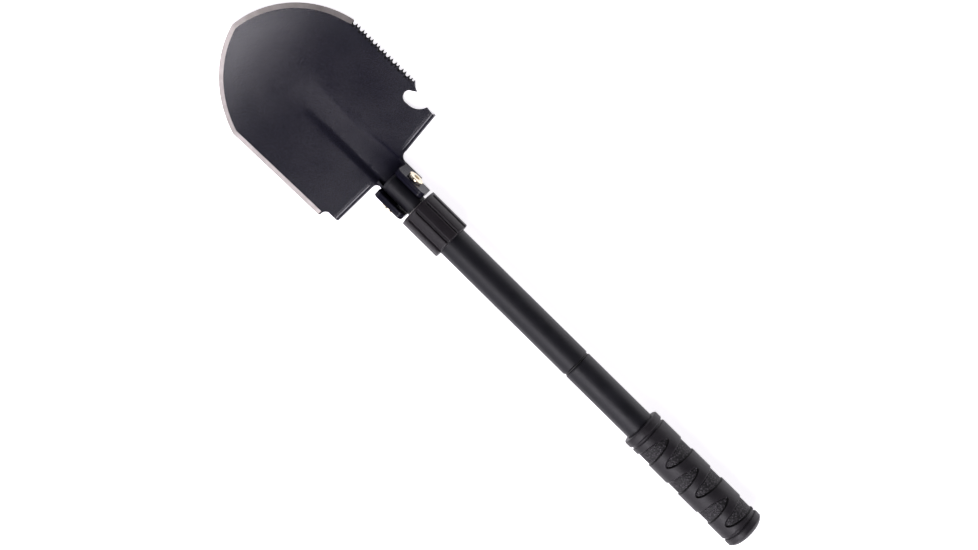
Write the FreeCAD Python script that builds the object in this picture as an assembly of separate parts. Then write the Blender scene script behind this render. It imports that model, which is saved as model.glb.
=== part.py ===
import FreeCAD, Part
import math
import os

from FreeCAD import Vector

os.makedirs("parts", exist_ok=True)

# Folding camp shovel lying on its back, blade forward. Millimetres.
# +Y runs from the butt of the grip to the tip of the blade, +X points to the
# saw edge and +Z is the side of the digging face. The shapes below are drawn
# about the handle axis; export() lifts them so that the lowest point, the back
# of the blade's rib, stands at Z = 0.

# ---------------------------------------------------------------- overall
HALF_LENGTH = 281.0
AXIS_HEIGHT = 20.5
FIT_GAP = 0.05
RUN_GAP = 0.3

# ---------------------------------------------------------------- blade
LEFT_CORNER_X = -70.0
RIGHT_EDGE_X = 66.5
SHEET = 2.0
FACE_Z = -15.0
TIP_X = -3.5
POINT_RADIUS = 87.0
POINT_CENTRE_OFFSET = 15.2
BEVEL_START_X = -68.0
BEVEL_START_Y = 132.2
BEVEL_WIDTH = 4.2
BEVEL_DROP = 1.4
LEFT_SHOULDER_X = -60.2
RIGHT_SHOULDER_X = 57.0
SHOULDER_Y = 115.0
SHOULDER_RISE = 2.0
DISH_START_Y = 206.0
DISH_RADIUS = 500.0
RIB_DEPTH = 3.45
RIB_END_Y = 212.0
WALL_BLEND_Y = 160.0
RIB_CENTRE_X = -1.1
RIB_WALL_REACH = 11.5
NECK_WALL_REACH = 12.6

# foot step folded back along each shoulder
STEP_BEND = 3.0
STEP_INNER_X = 19.8
STEP_BOTTOM_Z = -AXIS_HEIGHT
FOLD_LINE_RADIUS = 0.5
FOLD_LINE_DEPTH = 0.35

# saw on the right edge: pairs of points, filed on a slant so that the gaps
# reach further in on the digging face than on the back
SAW_FIRST_Y = 207.2
SAW_PAIRS = 9
SAW_PAIR_PITCH = 7.06
SAW_TIP_X = 66.4
SAW_SLANT_DEG = 38.0
GULLET = (1.9, 1.25, 1.7, 2.7)
NOTCH = (1.4, 0.75, 1.3, 2.1)

# ---------------------------------------------------------------- hinge
PIVOT_Y = 93.4
EAR_HALF_WIDTH = 14.2
EAR_SHEET = 2.4
EAR_FRONT_Z = 10.6
EAR_TOP = 14.3
EAR_BOTTOM = 13.9
EAR_CORNER = 4.5
EAR_BACK_Z = -9.5
BASE_END_Y = 91.5
SHEET_END_Y = 99.5
BRACKET_SHEET = 2.35
NECK_BEND = 3.5
TANG_RADIUS = 9.0
TANG_END = 14.2
TANG_CORNER = 3.5
PIVOT_RADIUS = 4.0
PIVOT_HEAD_RADIUS = 6.5
PIVOT_HEAD_THICKNESS = 2.0
PIVOT_WASHER = 0.8
PIVOT_WASHER_RADIUS = 5.9
HEX_ACROSS_FLATS = 5.0

# ---------------------------------------------------------------- collar
COLLAR_RADIUS = 17.0
COLLAR_TOP_Y = 76.7
COLLAR_BOTTOM_Y = 39.9
COLLAR_PANELS = 10
COLLAR_TURN_DEG = 8.0
PANEL_GROOVE_WIDTH = 3.5
PANEL_GROOVE_DEPTH = 0.8
COLLAR_RIM = 1.8
THREAD_RADIUS = 13.1
THREAD_DEPTH = 0.8
THREAD_PITCH = 2.0
FERRULE_TOP_Y = 63.9
TUBE_TOP_Y = 42.0
THRUST_WASHER = 2.6
THRUST_WASHER_RADIUS = 15.0
KEY_WIDTH = 2.4
KEY_DEPTH = 0.9
KEYWAY_BOTTOM_Y = 60.0
KEYWAY_TOP_Y = 80.0

# ---------------------------------------------------------------- handle
TUBE_RADIUS = 12.5
TUBE_WALL = 1.8
TUBE_BORE = TUBE_RADIUS - TUBE_WALL
TANG_BOTTOM_Y = 16.0
PIN_RADIUS = 2.0
PIN_YS = (22.0, 32.0)
JOINT_Y = -94.0
JOINT_GAP = 1.6
JOINT_THREAD_RADIUS = 8.0
JOINT_THREAD_LENGTH = 14.0
JOINT_THREAD_PITCH = 1.5
JOINT_PLUG_LENGTH = 22.0
O_RING_RADIUS = 11.6
SHOULDER_ROUND = 1.0

# ---------------------------------------------------------------- grip
GRIP_TOP_Y = -163.8
GRIP_FLANGE_RADIUS = 16.8
GRIP_RADIUS = 16.6
GRIP_GROOVE_RADIUS = 15.2
GRIP_FLANGE = 6.8
GRIP_GROOVE = 2.0
GRIP_END_Y = -272.2
CAP_DOME = 4.0
CAP_FLAT_RADIUS = 9.0
PLUG_LENGTH = 20.0


def export(shape, name):
    """Lift a shape onto the ground plane and write it as one sub-part."""
    lifted = shape.copy()
    lifted.translate(Vector(0, 0, AXIS_HEIGHT))
    lifted.exportStep("parts/" + name + ".step")
    print(name, "solids", len(lifted.Solids), "valid", lifted.isValid(),
          "volume %.0f" % lifted.Volume)


def smooth(t):
    """Ease from 0 to 1 as t goes from 0 to 1."""
    t = min(1.0, max(0.0, t))
    return t * t * (3.0 - 2.0 * t)


def mix(a, b, t):
    return a + (b - a) * t


def revolve(profile):
    """Solid of revolution about the handle axis from (radius, y) points."""
    points = [Vector(r, y, 0) for r, y in profile]
    wire = Part.makePolygon(points + [points[0]])
    return Part.Face(wire).revolve(Vector(0, 0, 0), Vector(0, 1, 0), 360)


def without_repeats(points):
    """The points with each one that lies on the point before it left out."""
    kept = [points[0]]
    for point in points[1:]:
        if math.dist(point, kept[-1]) > 1e-6:
            kept.append(point)
    return kept


def rod(radius, y_from, y_to):
    return Part.makeCylinder(radius, y_to - y_from, Vector(0, y_from, 0), Vector(0, 1, 0))


def ring(outer, inner, y_from, y_to):
    return rod(outer, y_from, y_to).cut(rod(inner, y_from - 1, y_to + 1))


def cross_rod(radius, x_from, x_to, y=PIVOT_Y):
    return Part.makeCylinder(radius, x_to - x_from, Vector(x_from, y, 0), Vector(1, 0, 0))


def arc(start, middle, end):
    return Part.Arc(start, middle, end).toShape()


def line(start, end):
    return Part.LineSegment(start, end).toShape()


def side_prism(points, half_width):
    """Prism across X from a (y, z) outline whose points may carry a corner radius."""
    edges = []
    rounded = []
    count = len(points)
    for i, (y, z, radius) in enumerate(points):
        here = Vector(0, y, z)
        before = Vector(0, points[i - 1][0], points[i - 1][1])
        after = Vector(0, points[(i + 1) % count][0], points[(i + 1) % count][1])
        back = (before - here).normalize()
        ahead = (after - here).normalize()
        half_angle = back.getAngle(ahead) / 2
        reach = radius / math.tan(half_angle)
        inward = (back + ahead).normalize()
        belly = here + inward * (radius / math.sin(half_angle) - radius)
        rounded.append((here + back * reach, belly, here + ahead * reach, radius))
    for i, (start, belly, end, radius) in enumerate(rounded):
        if radius > 0:
            edges.append(arc(start, belly, end))
        edges.append(line(end, rounded[(i + 1) % count][0]))
    face = Part.Face(Part.Wire(edges))
    prism = face.extrude(Vector(2 * half_width, 0, 0))
    prism.translate(Vector(-half_width, 0, 0))
    return prism


# ================================================================ blade
def face_height(x, y):
    """Height of the digging face: flat, dished up to the point, with a centre rib."""
    dish = max(0.0, y - DISH_START_Y) ** 2 / (2 * DISH_RADIUS)
    along = min(1.0, max(0.0, (RIB_END_Y - y) / (RIB_END_Y - SHOULDER_Y)))
    to_neck = smooth((WALL_BLEND_Y - y) / (WALL_BLEND_Y - SHOULDER_Y))
    rib_centre = mix(RIB_CENTRE_X, 0.0, to_neck)
    wall_middle = mix(RIB_WALL_REACH, NECK_WALL_REACH, to_neck)
    wall_half_span = mix(3.6, 1.6, to_neck)
    side = smooth((abs(x - rib_centre) - wall_middle + wall_half_span) / (2 * wall_half_span))
    return FACE_Z + dish - RIB_DEPTH * along * (1 - side)


def spline_face(x_knots, y_knots, height):
    """Cubic surface over a grid of knots whose control points follow height(x, y)."""
    degree = 3

    def control_places(knots):
        full = [knots[0]] * degree + list(knots) + [knots[-1]] * degree
        return [sum(full[i + 1:i + 1 + degree]) / degree for i in range(len(full) - degree - 1)]

    def multiplicities(knots):
        return [degree + 1] + [1] * (len(knots) - 2) + [degree + 1]

    poles = [[Vector(x, y, height(x, y)) for y in control_places(y_knots)]
             for x in control_places(x_knots)]
    surface = Part.BSplineSurface()
    surface.buildFromPolesMultsKnots(poles, multiplicities(x_knots), multiplicities(y_knots),
                                     x_knots, y_knots, False, False, degree, degree)
    return surface.toShape()


def point_centre(side):
    """Centre of the arc that runs from the tip down one side of the point."""
    centre_y = HALF_LENGTH - math.sqrt(POINT_RADIUS ** 2 - POINT_CENTRE_OFFSET ** 2)
    return Vector(TIP_X - side * POINT_CENTRE_OFFSET, centre_y, 0)


def point_place(side, x):
    """Place at a given x on the point's arc."""
    centre = point_centre(side)
    return Vector(x, centre.y + math.sqrt(POINT_RADIUS ** 2 - (x - centre.x) ** 2), 0)


def blade_outline():
    """Closed outline of the sheet, anticlockwise from the tip, in the XY plane."""
    tip = Vector(TIP_X, HALF_LENGTH, 0)
    left_corner = point_place(-1, LEFT_CORNER_X)
    right_corner = point_place(1, RIGHT_EDGE_X)
    left_middle = point_place(-1, mix(TIP_X, LEFT_CORNER_X, 0.6))
    right_middle = point_place(1, mix(TIP_X, RIGHT_EDGE_X, 0.6))

    bend_y = SHOULDER_Y + STEP_BEND
    outer_y = bend_y + SHOULDER_RISE
    fillet = STEP_INNER_X - EAR_HALF_WIDTH
    neck_y = SHOULDER_Y - fillet
    diagonal = fillet * (1 - math.sqrt(0.5))

    bevel_end = Vector(BEVEL_START_X, BEVEL_START_Y, 0)
    relief_top = bevel_end + Vector(1.6, -1.6, 0)
    relief_end = Vector(LEFT_SHOULDER_X, BEVEL_START_Y - 5.4, 0)
    relief_middle = relief_end + Vector(-2.0, 2.6, 0)

    edges = [
        arc(tip, left_middle, left_corner),
        line(left_corner, bevel_end),
        line(bevel_end, relief_top),
        arc(relief_top, relief_middle, relief_end),
    ]
    shoulder = [
        relief_end,
        Vector(LEFT_SHOULDER_X, outer_y, 0),
        Vector(-STEP_INNER_X, bend_y, 0),
        Vector(-STEP_INNER_X, SHOULDER_Y, 0),
    ]
    edges += [line(a, b) for a, b in zip(shoulder, shoulder[1:])]
    neck = [
        Vector(-EAR_HALF_WIDTH, neck_y, 0),
        Vector(-EAR_HALF_WIDTH, SHEET_END_Y, 0),
        Vector(EAR_HALF_WIDTH, SHEET_END_Y, 0),
        Vector(EAR_HALF_WIDTH, neck_y, 0),
    ]
    edges.append(arc(shoulder[-1], Vector(-EAR_HALF_WIDTH - diagonal, SHOULDER_Y - diagonal, 0), neck[0]))
    edges += [line(a, b) for a, b in zip(neck, neck[1:])]
    right = [
        Vector(STEP_INNER_X, SHOULDER_Y, 0),
        Vector(STEP_INNER_X, bend_y, 0),
        Vector(RIGHT_SHOULDER_X, outer_y, 0),
        Vector(57.8, 126.0, 0),
    ]
    edges.append(arc(neck[-1], Vector(EAR_HALF_WIDTH + diagonal, SHOULDER_Y - diagonal, 0), right[0]))
    edges += [line(a, b) for a, b in zip(right, right[1:])]

    # bottle opener: long hollow, round throat and claw, then the spur below the saw
    throat_left = Vector(48.7, 139.5, 0)
    throat_right = Vector(58.9, 142.8, 0)
    claw_tip = Vector(61.2, 139.6, 0)
    claw_back = Vector(64.2, 144.6, 0)
    spur_tip = Vector(RIGHT_EDGE_X, 146.8, 0)
    edges.append(arc(right[-1], Vector(50.2, 132.4, 0), throat_left))
    edges.append(arc(throat_left, Vector(53.6, 146.4, 0), throat_right))
    edges.append(line(throat_right, claw_tip))
    edges.append(arc(claw_tip, Vector(62.5, 142.5, 0), claw_back))
    edges.append(line(claw_back, spur_tip))
    edges.append(line(spur_tip, right_corner))
    edges.append(arc(right_corner, right_middle, tip))
    return Part.Wire(edges), left_corner, bevel_end


def saw_gap(y, shape):
    """Edges of one filed gap, going down: a flank, a round root and the other flank."""
    mouth, throat, throat_depth, depth = shape
    top = Vector(SAW_TIP_X, y + mouth, 0)
    upper = Vector(SAW_TIP_X - throat_depth, y + throat, 0)
    root = Vector(SAW_TIP_X - depth, y, 0)
    lower = Vector(SAW_TIP_X - throat_depth, y - throat, 0)
    bottom = Vector(SAW_TIP_X, y - mouth, 0)
    return [line(top, upper), arc(upper, root, lower), line(lower, bottom)], top, bottom


def saw_tool():
    """Slanted prism over everything outside the row of points."""
    gaps = []
    for pair in range(SAW_PAIRS):
        notch_y = SAW_FIRST_Y - pair * SAW_PAIR_PITCH
        gaps.append(saw_gap(notch_y + SAW_PAIR_PITCH / 2, GULLET))
        gaps.append(saw_gap(notch_y, NOTCH))
    gaps.append(saw_gap(148.0, (1.1, 0.7, 1.0, 1.9)))
    edges = []
    for here, after in zip(gaps, gaps[1:]):
        edges += here[0] + [line(here[2], after[1])]
    edges += gaps[-1][0]
    clear = 6.0
    first = gaps[0][1]
    last = gaps[-1][2]
    outside_last = last + Vector(clear, 0, 0)
    outside_first = first + Vector(clear, 0, 0)
    edges += [line(last, outside_last), line(outside_last, outside_first), line(outside_first, first)]
    start = -1.0
    height = 6.0
    slant = math.tan(math.radians(SAW_SLANT_DEG))
    tool = Part.Face(Part.Wire(edges)).extrude(Vector(-slant * height, 0, height))
    tool.translate(Vector(-slant * start, 0, FACE_Z - SHEET + start))
    return tool


def bevel_tool(inner_points, outer_points):
    """Solid above a slanted strip: cutting with it grinds the digging face down to the edge."""
    curves = []
    for points in (inner_points, outer_points):
        curve = Part.BSplineCurve()
        curve.interpolate(points)
        curves.append(curve.toShape())
    strip = Part.makeRuledSurface(curves[0], curves[1])
    return strip.extrude(Vector(0, 0, 12))


def bevel_strip(places, directions, width, drop):
    """Cutting tool along an edge: the sheet loses `drop` of height over the last `width`."""
    overrun = 1.0
    inner_points = []
    outer_points = []
    for place, direction in zip(places, directions):
        crease = place - direction * width
        crease_z = face_height(crease.x, crease.y)
        edge_z = face_height(place.x, place.y) - drop
        slope = (crease_z - edge_z) / width
        inner = crease - direction * overrun
        inner.z = crease_z + slope * overrun
        outer = place + direction * overrun
        outer.z = edge_z - slope * overrun
        inner_points.append(inner)
        outer_points.append(outer)
    return bevel_tool(inner_points, outer_points)


def bevel_tools(left_corner, bevel_end):
    """Ground edge round the point and down the left side."""
    steps = 12
    shares = [i / steps for i in range(steps + 1)]
    tools = []
    for side, corner_x in ((-1, LEFT_CORNER_X), (1, RIGHT_EDGE_X)):
        centre = point_centre(side)
        start = math.asin((POINT_CENTRE_OFFSET - 2.0) / POINT_RADIUS)
        end = math.asin(abs(corner_x - centre.x) / POINT_RADIUS) + 0.02
        angles = [mix(start, end, share) for share in shares]
        outward = [Vector(side * math.sin(angle), math.cos(angle), 0) for angle in angles]
        places = [centre + direction * POINT_RADIUS for direction in outward]
        tools.append(bevel_strip(places, outward, BEVEL_WIDTH, BEVEL_DROP))

    along = (bevel_end - left_corner).normalize()
    first = left_corner - along * 3
    last = bevel_end + along * 0.5
    places = [first + (last - first) * share for share in shares]
    outward = [Vector(along.y, -along.x, 0)] * len(places)
    tools.append(bevel_strip(places, outward, BEVEL_WIDTH, BEVEL_DROP))
    return tools


def foot_step(side):
    """Half of the folded step: the sheet bends back through a quarter circle."""
    y = SHOULDER_Y + STEP_BEND
    centre_z = FACE_Z - STEP_BEND
    inner = STEP_BEND - SHEET
    root = math.sqrt(0.5)
    top = Vector(0, y, FACE_Z)
    front = Vector(0, y - STEP_BEND, centre_z)
    front_end = Vector(0, y - STEP_BEND, STEP_BOTTOM_Z)
    back_end = Vector(0, y - inner, STEP_BOTTOM_Z)
    back = Vector(0, y - inner, centre_z)
    under = Vector(0, y, FACE_Z - SHEET)
    lap = Vector(0, 0.4, 0)
    edges = [
        line(top + lap, top),
        arc(top, Vector(0, y - STEP_BEND * root, centre_z + STEP_BEND * root), front),
        line(front, front_end),
        line(front_end, back_end),
        line(back_end, back),
        arc(back, Vector(0, y - inner * root, centre_z + inner * root), under),
        line(under, under + lap),
        line(under + lap, top + lap),
    ]
    profile = Part.Face(Part.Wire(edges))
    profile.translate(Vector(side * STEP_INNER_X, 0, 0))
    return profile.extrude(shoulder_run(side))


def shoulder_run(side):
    """From the inner to the outer end of one shoulder."""
    outer_x = LEFT_SHOULDER_X if side < 0 else RIGHT_SHOULDER_X
    return Vector(outer_x - side * STEP_INNER_X, SHOULDER_RISE, 0)


def fold_line(side):
    """Rod that cuts the fine line pressed in the face just above the step's bend."""
    run = shoulder_run(side)
    start = Vector(side * (STEP_INNER_X + 0.6), SHOULDER_Y + STEP_BEND + 0.8,
                   FACE_Z + FOLD_LINE_RADIUS - FOLD_LINE_DEPTH)
    return Part.makeCylinder(FOLD_LINE_RADIUS, run.Length + 2, start, run)


def channel_profile(half_width, sheet, floor_z, bend, top_z):
    """Solid U section in the XZ plane, open to +Z, running along Y from 0 to 1."""
    root = math.sqrt(0.5)

    def half_u(half, base, radius, side):
        start = Vector(side * half, 0, top_z)
        wall_end = Vector(side * half, 0, base + radius)
        belly = Vector(side * (half - radius + radius * root), 0, base + radius - radius * root)
        base_end = Vector(side * (half - radius), 0, base)
        return start, wall_end, belly, base_end

    outer_base = floor_z
    inner_base = floor_z + SHEET
    outer_left = half_u(half_width, outer_base, bend, -1)
    outer_right = half_u(half_width, outer_base, bend, 1)
    inner_bend = max(0.6, bend - sheet)
    inner_left = half_u(half_width - sheet, inner_base, inner_bend, -1)
    inner_right = half_u(half_width - sheet, inner_base, inner_bend, 1)
    edges = [
        line(outer_left[0], outer_left[1]),
        arc(outer_left[1], outer_left[2], outer_left[3]),
        line(outer_left[3], outer_right[3]),
        arc(outer_right[3], outer_right[2], outer_right[1]),
        line(outer_right[1], outer_right[0]),
        line(outer_right[0], inner_right[0]),
        line(inner_right[0], inner_right[1]),
        arc(inner_right[1], inner_right[2], inner_right[3]),
        line(inner_right[3], inner_left[3]),
        arc(inner_left[3], inner_left[2], inner_left[1]),
        line(inner_left[1], inner_left[0]),
        line(inner_left[0], outer_left[0]),
    ]
    return Part.Face(Part.Wire(edges))


def ear_outline(neck_reach):
    """Side view of the ears: (y, z, corner radius), pivot in the middle."""
    bottom_y = PIVOT_Y - EAR_BOTTOM
    top_y = PIVOT_Y + EAR_TOP
    neck_wall_z = -12.5
    below_base = -AXIS_HEIGHT - 1
    outline = [
        (BASE_END_Y, below_base, 0.0),
        (BASE_END_Y, EAR_BACK_Z, 2.0),
        (bottom_y, EAR_BACK_Z, 2.0),
        (bottom_y, EAR_FRONT_Z, EAR_CORNER),
        (top_y, EAR_FRONT_Z, EAR_CORNER),
    ]
    if neck_reach > 0:
        outline += [
            (top_y, neck_wall_z, 1.0),
            (top_y + neck_reach, FACE_Z - 0.3, 0.0),
        ]
    outline.append((top_y + neck_reach, below_base, 0.0))
    return outline


def hinge_channel(half_width, sheet, back_z, bend, neck_reach):
    """U channel cut to the ear outline and drilled for the pivot."""
    y_from = PIVOT_Y - EAR_BOTTOM - 1
    y_to = PIVOT_Y + EAR_TOP + neck_reach
    profile = channel_profile(half_width, sheet, back_z, bend, EAR_FRONT_Z + 1)
    profile.translate(Vector(0, y_from, 0))
    channel = profile.extrude(Vector(0, y_to - y_from, 0))
    channel = channel.common(side_prism(ear_outline(neck_reach), half_width + 1))
    return channel.cut(cross_rod(PIVOT_RADIUS + FIT_GAP, -half_width - 1, half_width + 1))


def make_blade():
    outline, left_corner, bevel_end = blade_outline()
    x_knots = [-74.0, -45.0] + [-21.0 + 1.5 * i for i in range(29)] + [45.0, 74.0]
    y_knots = [98.0 + 6.0 * i for i in range(32)]
    sheet = spline_face(x_knots, y_knots, face_height).extrude(Vector(0, 0, -SHEET))
    prism = Part.Face(outline).extrude(Vector(0, 0, 60))
    prism.translate(Vector(0, 0, -40))
    blade = sheet.common(prism)
    for tool in bevel_tools(left_corner, bevel_end) + [saw_tool(), fold_line(-1), fold_line(1)]:
        blade = blade.cut(tool)
    steps = [foot_step(-1), foot_step(1)]
    ears = hinge_channel(EAR_HALF_WIDTH, EAR_SHEET, -AXIS_HEIGHT, NECK_BEND, 7.0)
    return blade.fuse(steps + [ears]).removeSplitter()


def make_inner_bracket():
    half_width = EAR_HALF_WIDTH - EAR_SHEET
    floor = FACE_Z - RIB_DEPTH
    return hinge_channel(half_width, BRACKET_SHEET, floor, 3.0, 0.0)


# ================================================================ pivot
def hex_socket(x_face, direction, depth):
    radius = HEX_ACROSS_FLATS / math.sqrt(3)
    points = []
    for i in range(7):
        angle = math.radians(60 * i)
        points.append(Vector(x_face, PIVOT_Y + radius * math.cos(angle), radius * math.sin(angle)))
    return Part.Face(Part.makePolygon(points)).extrude(Vector(-direction * depth, 0, 0))


def pivot_head(side):
    """Button head with a rounded rim and a hexagonal socket."""
    inner = EAR_HALF_WIDTH + PIVOT_WASHER
    head = Part.makeCylinder(PIVOT_HEAD_RADIUS, PIVOT_HEAD_THICKNESS,
                             Vector(side * inner, PIVOT_Y, 0), Vector(side, 0, 0))
    outer_x = side * (inner + PIVOT_HEAD_THICKNESS)
    rim = [e for e in head.Edges if abs(e.BoundBox.XMin - outer_x) < 0.01
           and abs(e.BoundBox.XMax - outer_x) < 0.01]
    head = head.makeFillet(0.9, rim)
    return head.cut(hex_socket(outer_x + side * 0.1, side, 1.5))


def make_pivot_barrel():
    sleeve = cross_rod(PIVOT_RADIUS, -EAR_HALF_WIDTH - PIVOT_WASHER, EAR_HALF_WIDTH - 0.4)
    barrel = pivot_head(-1).fuse(sleeve).removeSplitter()
    return barrel.cut(cross_rod(3.0, -8.0, EAR_HALF_WIDTH + 1))


def make_pivot_screw():
    shank = cross_rod(3.0 - FIT_GAP, -7.0, EAR_HALF_WIDTH + PIVOT_WASHER)
    return pivot_head(1).fuse(shank).removeSplitter()


def make_pivot_washers():
    washers = []
    for side in (-1, 1):
        x_from = min(side * EAR_HALF_WIDTH, side * (EAR_HALF_WIDTH + PIVOT_WASHER))
        disc = cross_rod(PIVOT_WASHER_RADIUS, x_from, x_from + PIVOT_WASHER)
        hole = cross_rod(PIVOT_RADIUS + FIT_GAP, x_from - 1, x_from + PIVOT_WASHER + 1)
        washers.append(disc.cut(hole))
    return Part.makeCompound(washers)


# ================================================================ tang, ferrule and collar
def make_tang():
    end_y = PIVOT_Y + TANG_END
    tang = rod(TANG_RADIUS, TANG_BOTTOM_Y, end_y)
    rim = [e for e in tang.Edges if abs(e.BoundBox.YMin - end_y) < 0.01]
    tang = tang.makeFillet(TANG_CORNER, rim)
    tang = tang.cut(cross_rod(PIVOT_RADIUS + 0.08, -TANG_RADIUS - 1, TANG_RADIUS + 1))
    keyway_width = KEY_WIDTH + 2 * RUN_GAP
    keyway = Part.makeBox(keyway_width, KEYWAY_TOP_Y - KEYWAY_BOTTOM_Y, 3.0,
                          Vector(-keyway_width / 2, KEYWAY_BOTTOM_Y,
                                 -TANG_RADIUS + KEY_DEPTH + RUN_GAP - 3.0))
    tang = tang.cut(keyway)
    for y in PIN_YS:
        tang = tang.cut(cross_rod(PIN_RADIUS, -TANG_RADIUS - 1, TANG_RADIUS + 1, y))
    return tang


def make_ferrule():
    """Threaded sleeve: a spigot inside the front tube and a thread for the collar."""
    bore = TANG_RADIUS + FIT_GAP
    root = THREAD_RADIUS - THREAD_DEPTH
    profile = [(bore, TANG_BOTTOM_Y + 1), (TUBE_BORE - FIT_GAP, TANG_BOTTOM_Y + 1),
               (TUBE_BORE - FIT_GAP, TUBE_TOP_Y), (root, TUBE_TOP_Y)]
    y = TUBE_TOP_Y + 1.0
    while y + THREAD_PITCH < FERRULE_TOP_Y:
        profile += [(root, y), (THREAD_RADIUS, y + THREAD_PITCH * 0.4),
                    (THREAD_RADIUS, y + THREAD_PITCH * 0.6), (root, y + THREAD_PITCH)]
        y += THREAD_PITCH
    profile += [(root, FERRULE_TOP_Y), (bore, FERRULE_TOP_Y)]
    ferrule = revolve(without_repeats(profile))
    for y in PIN_YS:
        ferrule = ferrule.cut(cross_rod(PIN_RADIUS, -TUBE_RADIUS, TUBE_RADIUS, y))
    return ferrule


def make_tang_pins():
    reach = TUBE_BORE - 0.2
    return Part.makeCompound([cross_rod(PIN_RADIUS - 0.02, -reach, reach, y) for y in PIN_YS])


def make_collar():
    """Knurled lock nut: ten flat panels between grooves, cupped top for the thrust washer."""
    chamfer = 0.8
    bore = THREAD_RADIUS + RUN_GAP
    cup = THRUST_WASHER_RADIUS + FIT_GAP
    cup_floor = COLLAR_TOP_Y + RUN_GAP - THRUST_WASHER
    collar = revolve([
        (bore, COLLAR_BOTTOM_Y), (COLLAR_RADIUS - chamfer, COLLAR_BOTTOM_Y),
        (COLLAR_RADIUS, COLLAR_BOTTOM_Y + chamfer), (COLLAR_RADIUS, COLLAR_TOP_Y - chamfer),
        (COLLAR_RADIUS - chamfer, COLLAR_TOP_Y), (cup, COLLAR_TOP_Y),
        (cup, cup_floor), (bore, cup_floor),
    ])
    length = COLLAR_TOP_Y - COLLAR_RIM - COLLAR_BOTTOM_Y + 1
    for i in range(COLLAR_PANELS):
        groove = Part.makeBox(PANEL_GROOVE_WIDTH, length, 3.0,
                              Vector(-PANEL_GROOVE_WIDTH / 2, COLLAR_BOTTOM_Y - 1,
                                     COLLAR_RADIUS - PANEL_GROOVE_DEPTH - 0.1))
        groove.rotate(Vector(0, 0, 0), Vector(0, 1, 0), COLLAR_TURN_DEG + i * 360.0 / COLLAR_PANELS)
        collar = collar.cut(groove)
    return collar


def make_thrust_washer():
    """Steel washer in the collar's cup, keyed to the tang so that it slides but never turns."""
    top = COLLAR_TOP_Y + RUN_GAP
    bore = TANG_RADIUS + RUN_GAP
    washer = ring(THRUST_WASHER_RADIUS, bore, top - THRUST_WASHER, top)
    key_reach = bore - (TANG_RADIUS - KEY_DEPTH)
    key = Part.makeBox(KEY_WIDTH, THRUST_WASHER, key_reach + 1.0,
                       Vector(-KEY_WIDTH / 2, top - THRUST_WASHER, -bore - 1.0))
    return washer.fuse(key).removeSplitter()


# ================================================================ handle tubes
def make_front_tube():
    return revolve([
        (TUBE_BORE, JOINT_Y), (TUBE_RADIUS - SHOULDER_ROUND / 2, JOINT_Y),
        (TUBE_RADIUS, JOINT_Y + SHOULDER_ROUND / 2), (TUBE_RADIUS, TUBE_TOP_Y - 0.3),
        (TUBE_RADIUS - 0.3, TUBE_TOP_Y), (TUBE_BORE, TUBE_TOP_Y),
    ])


def make_joint_socket():
    """Threaded insert fixed in the lower end of the front tube."""
    bore = JOINT_THREAD_RADIUS + RUN_GAP
    top = JOINT_Y + JOINT_PLUG_LENGTH
    return ring(TUBE_BORE - FIT_GAP, bore, JOINT_Y, top)


def make_joint_stud():
    """Threaded stud fixed in the upper end of the rear tube."""
    rear_top = JOINT_Y - JOINT_GAP
    neck = JOINT_THREAD_RADIUS - 0.8
    profile = [(0, rear_top - JOINT_PLUG_LENGTH), (TUBE_BORE - FIT_GAP, rear_top - JOINT_PLUG_LENGTH),
               (TUBE_BORE - FIT_GAP, rear_top), (neck, rear_top)]
    y = JOINT_Y
    while y + JOINT_THREAD_PITCH <= JOINT_Y + JOINT_THREAD_LENGTH + 0.01:
        profile += [(neck, y), (JOINT_THREAD_RADIUS, y + JOINT_THREAD_PITCH * 0.4),
                    (JOINT_THREAD_RADIUS, y + JOINT_THREAD_PITCH * 0.6), (neck, y + JOINT_THREAD_PITCH)]
        y += JOINT_THREAD_PITCH
    profile += [(neck - 1.0, y + 1.0), (0, y + 1.0)]
    return revolve(without_repeats(profile))


def make_joint_o_ring():
    inner = JOINT_THREAD_RADIUS - 0.8 + FIT_GAP
    gap = 0.02
    y_from = JOINT_Y - JOINT_GAP + gap
    y_to = JOINT_Y - gap
    seal = ring(O_RING_RADIUS, inner, y_from, y_to)
    rims = [e for e in seal.Edges if e.Length > 2 * math.pi * O_RING_RADIUS - 0.1
            and e.BoundBox.YLength < 0.01]
    return seal.makeFillet(0.5, rims)


def make_rear_tube():
    top = JOINT_Y - JOINT_GAP
    return revolve([
        (TUBE_BORE, GRIP_END_Y), (TUBE_RADIUS, GRIP_END_Y),
        (TUBE_RADIUS, top - SHOULDER_ROUND), (TUBE_RADIUS - SHOULDER_ROUND * 0.3, top - 0.3 * SHOULDER_ROUND),
        (TUBE_RADIUS - SHOULDER_ROUND, top), (TUBE_BORE, top),
    ])


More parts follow.
